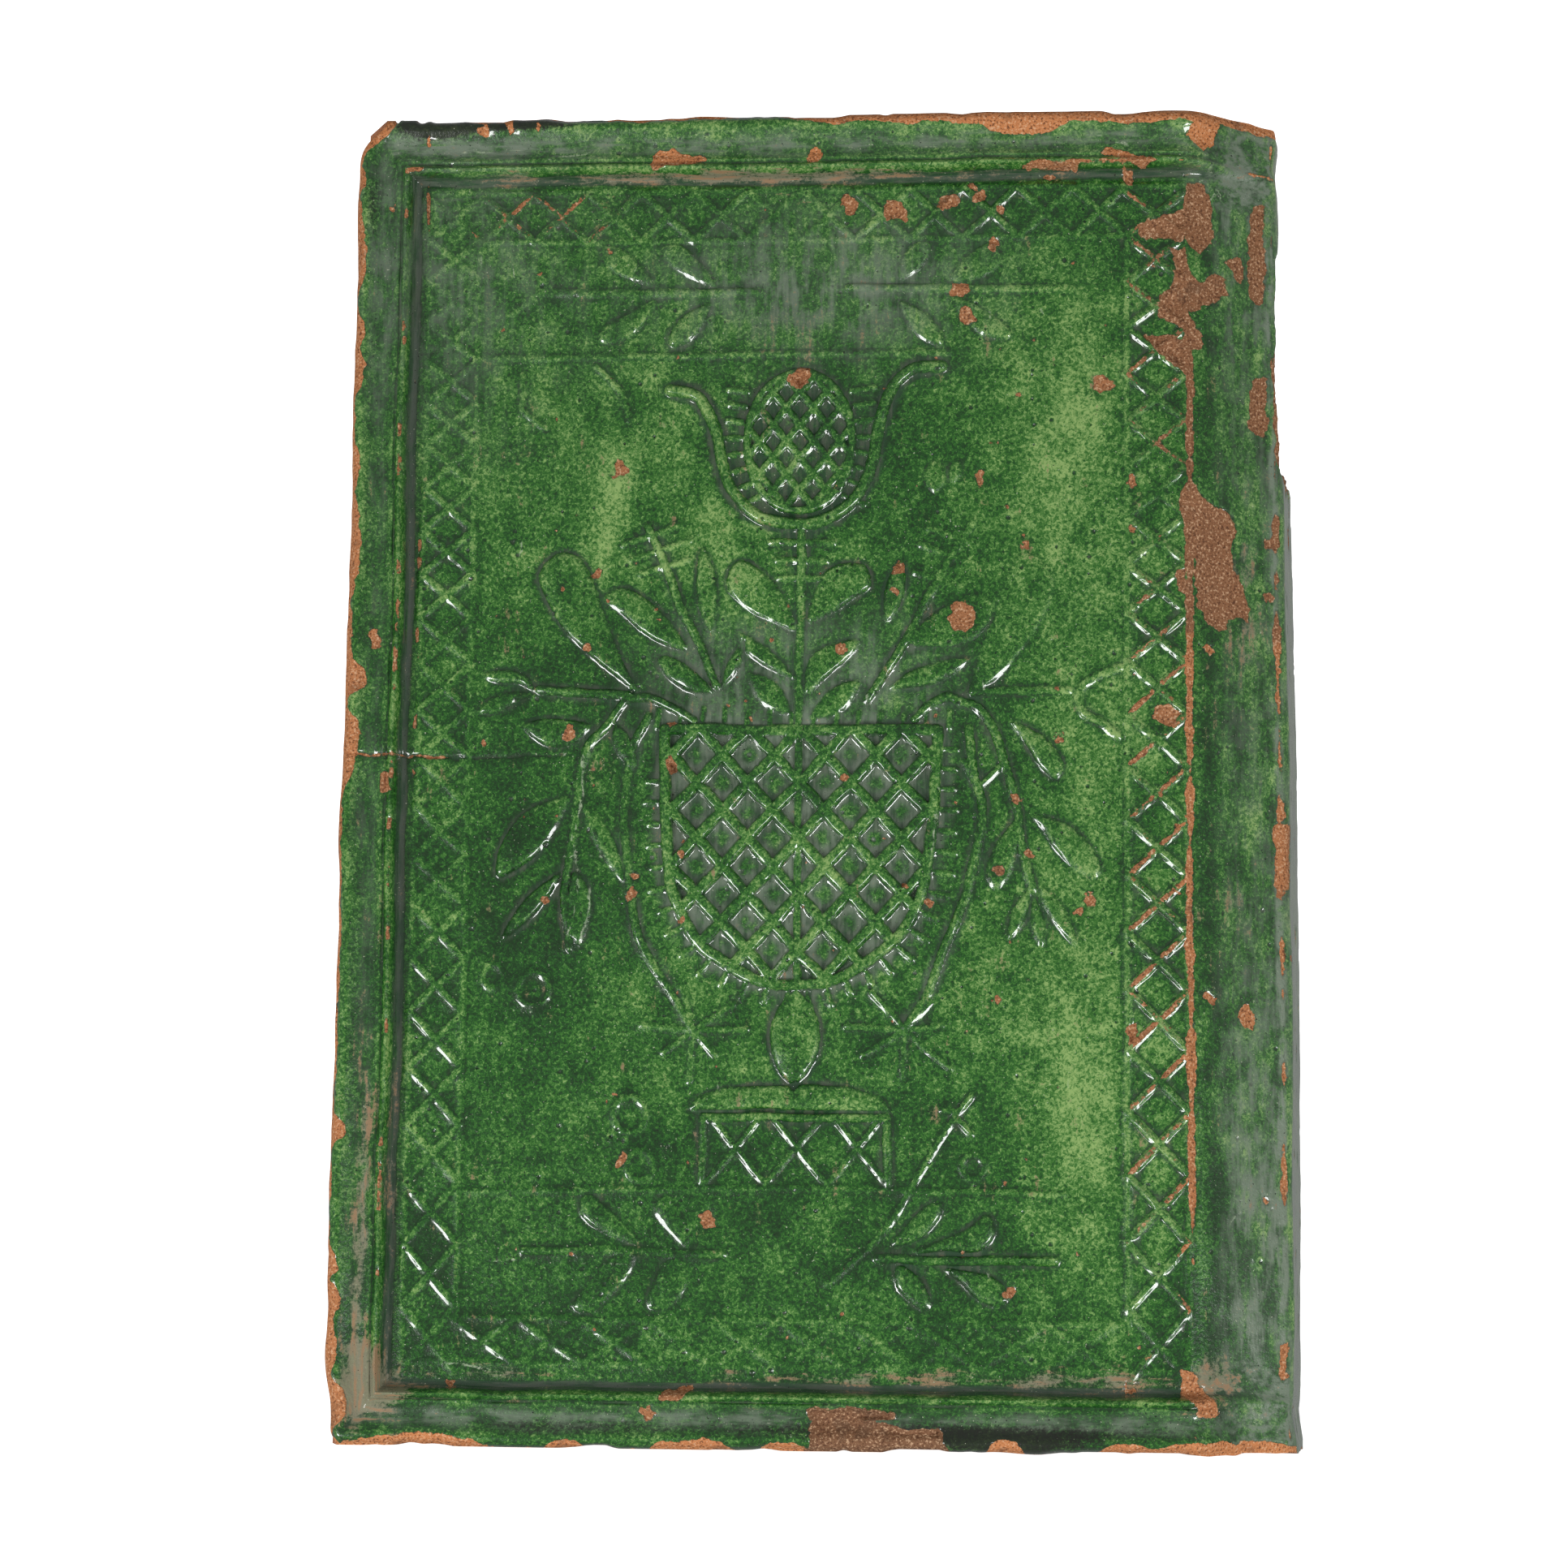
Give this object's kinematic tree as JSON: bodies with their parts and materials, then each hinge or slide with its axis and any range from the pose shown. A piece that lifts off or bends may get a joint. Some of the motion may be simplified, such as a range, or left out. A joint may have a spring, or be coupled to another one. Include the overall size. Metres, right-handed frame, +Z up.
{
  "type": "stove tile",
  "caption": "Corner stove tile of green-glazed earthenware: upright face with moulded frame, lattice border and a vase of flowers in relief, slanting corner band, side return, open box behind.",
  "frame": {"origin": "middle of the bounding rectangle of the underside, at the height the tile stands on", "axes": "+Z up, +Y towards the inside of the stove, the relief face looks along -Y, the stove's corner is at +X"},
  "size_m": [0.2356, 0.084, 0.327],
  "materials": {
    "glazed_earthenware": "glossy mottled green lead glaze, worn through to the red clay on arrises and rims"
  },
  "bodies": {
    "root": {"stove_tile": "glazed_earthenware"}
  },
  "joints": []
}
